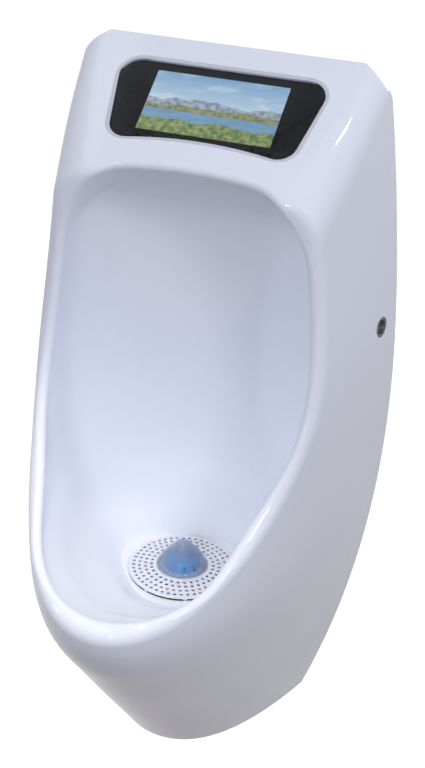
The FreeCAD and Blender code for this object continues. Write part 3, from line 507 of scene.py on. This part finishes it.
def add_object(name, data):
    """Puts a new object into the scene."""
    made = bpy.data.objects.new(name, data)
    bpy.context.scene.collection.objects.link(made)
    return made


def crisp(mesh):
    """Smooth faces with sharp edges between them."""
    mesh.shade_smooth()
    mesh.set_sharp_from_angle(angle=CRISP_ANGLE)


def set_over_drain(builder, mesh):
    """Moves a turned form over the drain and writes it to its mesh."""
    bmesh.ops.translate(builder, vec=DRAIN, verts=builder.verts)
    bmesh.ops.recalc_face_normals(builder, faces=builder.faces)
    builder.to_mesh(mesh)
    builder.free()


def ring_spline(curve, centre, radius, steps):
    """Adds a closed round outline to a flat curve."""
    spline = curve.splines.new("BEZIER")
    spline.bezier_points.add(3)
    spline.use_cyclic_u = True
    spline.resolution_u = steps
    for quarter, point in enumerate(spline.bezier_points):
        turn = quarter * math.pi / 2
        point.co = centre + Vector((math.cos(turn), math.sin(turn), 0)) * radius
        point.handle_left_type = "AUTO"
        point.handle_right_type = "AUTO"


def lathe(builder, profile, steps=RING_STEPS):
    """Adds a closed turned ring: profile is (radius, level) points round its section."""
    rows = []
    for step in range(steps):
        turn = 2 * math.pi * step / steps
        rows.append([builder.verts.new((r * math.cos(turn), r * math.sin(turn), z)) for r, z in profile])
    count = len(profile)
    for here, there in zip(rows, rows[1:] + rows[:1]):
        for k in range(count):
            n = (k + 1) % count
            builder.faces.new((here[k], there[k], there[n], here[n]))


def perforated_plate():
    """Flat round plate with rings of soft edged holes, as a mesh."""
    curve = bpy.data.curves.new("strainer_plate", "CURVE")
    curve.dimensions = "2D"
    curve.fill_mode = "BOTH"
    curve.extrude = STRAINER_THICKNESS / 2 - STRAINER_ROUNDING
    curve.bevel_depth = STRAINER_ROUNDING
    curve.bevel_resolution = EDGE_STEPS
    curve.offset = -STRAINER_ROUNDING
    ring_spline(curve, Vector(), STRAINER_RADIUS, RIM_STEPS)
    ring_spline(curve, Vector(), GROOVE_OUTER, GROOVE_STEPS)
    for radius, count in STRAINER_RINGS:
        for k in range(count):
            turn = 2 * math.pi * (k + 0.5) / count
            centre = Vector((math.cos(turn), math.sin(turn), 0)) * radius
            ring_spline(curve, centre, STRAINER_HOLE, HOLE_STEPS)
    holder = add_object("strainer_plate", curve)
    bpy.context.view_layer.update()
    mesh = bpy.data.meshes.new_from_object(holder.evaluated_get(bpy.context.evaluated_depsgraph_get()))
    bpy.data.objects.remove(holder)
    return mesh


def raise_middle(builder):
    """Sets the plate to its level and lifts its middle, so that it falls gently to its edge."""
    middle = STRAINER_EDGE - STRAINER_THICKNESS / 2
    for vertex in builder.verts:
        radius = Vector((vertex.co.x, vertex.co.y)).length
        share = (STRAINER_RADIUS - radius) / (STRAINER_RADIUS - GROOVE_OUTER)
        vertex.co.z += middle + STRAINER_RISE * max(0.0, share)


def add_hub(builder):
    """Hub under the cone, the skirt that clips into the cup, and the float's guide."""
    web = STRAINER_EDGE + STRAINER_RISE - CONE_SEAT_GAP
    step = web - GROOVE_DEPTH
    hub_low = web - HUB_THICKNESS
    lathe(builder, [(PIN_HOLE, hub_low), (HUB_FLANGE, hub_low), (HUB_FLANGE, step), (GROOVE_INNER, step),
                    (GROOVE_INNER, web), (PIN_HOLE, web)])
    skirt_top = web - 2 * GROOVE_DEPTH + JOINT_OVERLAP
    skirt_low = web - SKIRT_DEPTH
    lathe(builder, [(SKIRT_RADIUS - SKIRT_WALL, skirt_low), (SKIRT_RADIUS, skirt_low),
                    (SKIRT_RADIUS, skirt_top), (SKIRT_RADIUS - SKIRT_WALL, skirt_top)])
    guide_low = STRAINER_LOW.z
    guide_top = hub_low + JOINT_OVERLAP
    lathe(builder, [(GUIDE_BORE, guide_low), (GUIDE_RADIUS, guide_low), (GUIDE_RADIUS, guide_top),
                    (GUIDE_BORE, guide_top)], steps=GUIDE_STEPS)


def add_feet(builder):
    """Small feet under the plate's edge."""
    thick, wide, tall = FOOT_SIZE
    foot_reach = STRAINER_RADIUS - thick / 2 - JOINT_OVERLAP
    foot_level = STRAINER_EDGE - STRAINER_ROUNDING - tall / 2
    for k in range(FOOT_COUNT):
        turn = math.radians(FOOT_TURN + k * 360 / FOOT_COUNT)
        foot = bmesh.ops.create_cube(builder, size=1.0)["verts"]
        shape = Matrix.Translation((foot_reach, 0, foot_level)) @ Matrix.Diagonal((thick, wide, tall, 1.0))
        bmesh.ops.transform(builder, matrix=Matrix.Rotation(turn, 4, "Z") @ shape, verts=foot)


def strainer_piece(finish):
    """The strainer: a perforated shallow cone with its hub, clip skirt and feet."""
    mesh = perforated_plate()
    builder = bmesh.new()
    builder.from_mesh(mesh)
    bmesh.ops.remove_doubles(builder, verts=builder.verts, dist=WELD_DISTANCE)
    raise_middle(builder)
    add_hub(builder)
    add_feet(builder)
    set_over_drain(builder, mesh)
    mesh.materials.clear()
    mesh.materials.append(finish.material)
    crisp(mesh)
    piece = add_object("strainer_plate", mesh)
    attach(piece, "trap_cartridge")
    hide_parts("strainer_disc")


def flat_copy(name):
    """The same form as a CAD piece, with crisp edges and even faces."""
    mesh = nodes[name].data.copy()
    if mesh.has_custom_normals:
        mesh.attributes.remove(mesh.attributes["custom_normal"])
    crisp(mesh)
    piece = add_object(name + "_face", mesh)
    piece.matrix_world = nodes[name].matrix_world
    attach(piece, "urinal_body")
    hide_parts(name)


def strainer_shade_ring(finish):
    """Thin dark ring on the bowl's floor under the strainer's edge: painted shade, standing for the shadow
    in the gap under the strainer.
    """
    builder = bmesh.new()
    high = STRAINER_EDGE - SHADE_RING_DROP
    low = high - SHADE_RING_THICKNESS
    lathe(builder, [(SHADE_RING_INNER, low), (SHADE_RING_OUTER, low), (SHADE_RING_OUTER, high), (SHADE_RING_INNER, high)])
    mesh = bpy.data.meshes.new("strainer_shade_ring")
    set_over_drain(builder, mesh)
    mesh.materials.append(finish.material)
    piece = add_object("strainer_shade_ring", mesh)
    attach(piece, "trap_cartridge")


def place_lamp(name, light, place, target, power, tint):
    """Sets a lamp up in its place, turned to its target."""
    light.energy = power
    light.color = tint
    lamp = add_object(name, light)
    lamp.location = place
    lamp.rotation_euler = (Vector(target) - lamp.location).to_track_quat("-Z", "Y").to_euler()
    lamp.visible_camera = False


def soft_lamp(name, place, width, height, power, tint):
    """A wide lamp turned to the object."""
    light = bpy.data.lights.new(name, "AREA")
    light.shape = "RECTANGLE"
    light.size = width
    light.size_y = height
    place_lamp(name, light, place, LAMP_TARGET, power, tint)


def bowl_spot(name, place, power):
    """Narrow lamp that falls past the header into the bowl."""
    light = bpy.data.lights.new(name, "SPOT")
    light.spot_size = SPOT_ANGLE
    light.spot_blend = 1.0
    light.shadow_soft_size = SPOT_RADIUS
    place_lamp(name, light, place, SPOT_TARGET, power, WARM)


def even_sky():
    """Even light from all round, which shows as white."""
    world = bpy.data.worlds.new("studio")
    bpy.context.scene.world = world
    world.use_nodes = True
    sky = Graph(world.node_tree)
    sky_colour = sky.mix(sky.backdrop(), colour(*SKY), colour(1, 1, 1))
    feed(sky.tree, sky.tree.nodes["Background"].inputs["Color"], sky_colour)


def pale_floor():
    """White floor that keeps the object's shadow and throws a little warm light back."""
    mesh = bpy.data.meshes.new("floor")
    builder = bmesh.new()
    bmesh.ops.create_grid(builder, x_segments=1, y_segments=1, size=FLOOR_HALF)
    builder.to_mesh(mesh)
    builder.free()
    floor = add_object("floor", mesh)
    floor.location = (0, 0, FLOOR_LEVEL)
    paint = Finish("floor_paint", Roughness=0.9, Specular_IOR_Level=0.0, Emission_Strength=1.0)
    shown = paint.backdrop()
    glow = colour(FLOOR_GLOW, FLOOR_GLOW, FLOOR_GLOW)
    pale = colour(FLOOR_SEEN, FLOOR_SEEN, FLOOR_SEEN)
    paint.set(Base_Color=paint.mix(shown, colour(*FLOOR_BOUNCE), pale))
    paint.set(Emission_Color=paint.mix(shown, colour(0, 0, 0), glow))
    mesh.materials.append(paint.material)


def studio():
    """Sky, floor and lamps, shown with plain colours."""
    bpy.context.scene.view_settings.view_transform = "Standard"
    even_sky()
    pale_floor()
    for lamp in LAMPS:
        soft_lamp(*lamp)
    for spot in SPOTS:
        bowl_spot(*spot)


def camera():
    """The photograph's camera: where it stands, how it is turned and how far it sees."""
    forward = Vector((-math.sin(CAMERA_YAW) * math.cos(CAMERA_PITCH),
                      math.cos(CAMERA_YAW) * math.cos(CAMERA_PITCH), -math.sin(CAMERA_PITCH)))
    level = Vector((math.cos(CAMERA_YAW), math.sin(CAMERA_YAW), 0))
    upright = level.cross(forward)
    right = math.cos(CAMERA_ROLL) * level + math.sin(CAMERA_ROLL) * upright
    up = math.cos(CAMERA_ROLL) * upright - math.sin(CAMERA_ROLL) * level
    data = bpy.data.cameras.new("camera")
    data.sensor_width = SENSOR_WIDTH
    data.lens = FOCAL_PIXELS / PHOTO_HEIGHT * SENSOR_WIDTH
    view = add_object("camera", data)
    turn = Matrix((right, up, -forward)).transposed().to_4x4()
    view.matrix_world = Matrix.Translation(CAMERA_PLACE) @ turn
    bpy.context.scene.camera = view


camera()
studio()
finishes = dress()
strainer_piece(finishes["strainer_disc"])
# Painted shade: a dark ring under the strainer's edge, given the dark rubber finish
strainer_shade_ring(finishes["trap_o_rings"])
flat_copy("display_window")
flat_copy("window_mask")
